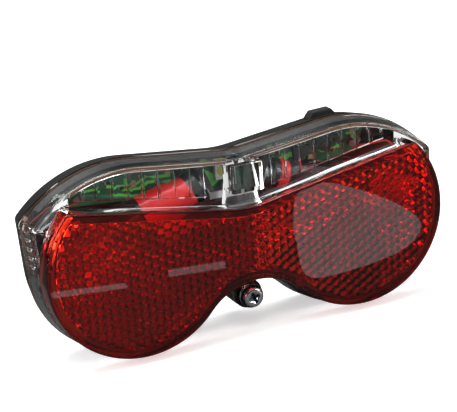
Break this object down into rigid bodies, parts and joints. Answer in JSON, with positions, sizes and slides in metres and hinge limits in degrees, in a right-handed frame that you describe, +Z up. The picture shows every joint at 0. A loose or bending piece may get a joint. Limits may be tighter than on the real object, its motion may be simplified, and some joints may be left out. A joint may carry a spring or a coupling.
{
  "type": "bicycle rear light",
  "caption": "Battery rear light for a bicycle carrier plate: wide lobed red reflector below a fluted clear window, black housing, push button on top, threaded studs behind.",
  "frame": {"origin": "midway between the two mounting studs, on the plane of the housing's boss faces that rest on the carrier plate", "axes": "+X to the right as seen by a rider behind, +Y towards the bicycle along the studs, +Z up"},
  "size_m": [0.1236, 0.041, 0.0567],
  "materials": {
    "red_lens": "clear red moulded acrylic over retro prisms",
    "clear_lens": "clear moulded polycarbonate, polished",
    "black_housing": "black moulded plastic, fine satin",
    "black_rubber": "matt black rubber",
    "zinc_screw": "bright zinc plate",
    "stud_steel": "zinc-plated steel",
    "brass": "turned brass",
    "board_green": "green solder mask over glass cloth",
    "diode_white": "white moulded package with a yellowish lens",
    "chip_black": "black moulding compound",
    "tinned": "tinned metal",
    "ceramic_tan": "fired ceramic",
    "ferrite": "sintered ferrite",
    "copper_wire": "enamelled copper wire",
    "holder_black": "black moulded plastic, satin",
    "cell_steel": "nickel-plated steel",
    "cell_sleeve": "printed film in black and red bands",
    "spring_steel": "nickel-plated spring steel",
    "lead_red": "red insulation",
    "switch_grey": "black moulded switch"
  },
  "bodies": {
    "housing": {"rear_housing": "black_housing", "housing_gasket": "black_rubber", "screw_insert": "brass", "mounting_studs": "stud_steel", "circuit_board": "board_green", "board_screws": "zinc_screw", "main_diode": "diode_white", "control_chip": "chip_black", "chip_legs": "tinned", "resistors": "chip_black", "capacitors": "ceramic_tan", "coil_cores": "ferrite", "coil_windings": "copper_wire", "switch_body": "switch_grey", "button_gasket": "black_rubber", "battery_holder": "holder_black", "left_cell": "cell_steel", "left_cell_sleeve": "cell_sleeve", "right_cell": "cell_steel", "right_cell_sleeve": "cell_sleeve", "inner_spring": "spring_steel", "outer_spring": "spring_steel", "contact_bridge": "spring_steel", "outer_contacts": "spring_steel", "battery_leads": "lead_red"},
    "cover": {"front_lens": "clear_lens", "reflector_panel": "red_lens"},
    "screw": {"lens_screw": "zinc_screw"},
    "button": {"button_cap": "black_rubber", "switch_plunger": "switch_grey"}
  },
  "joints": [
    {"name": "cover_removal", "type": "slide", "parent": "housing", "child": "cover", "axis": [0, -1, 0], "range_m": [0, 0.04]},
    {"name": "lens_screw_turn", "type": "hinge", "parent": "cover", "child": "screw", "pos_m": [0, -0.0223, -0.0179], "axis": [0, -1, 0], "continuous": true},
    {"name": "button_press", "type": "slide", "parent": "housing", "child": "button", "axis": [0.0429, 0, -0.9991], "range_m": [0, 0.0008], "stiffness_N_per_m": 1500, "springref_m": -0.0008}
  ]
}
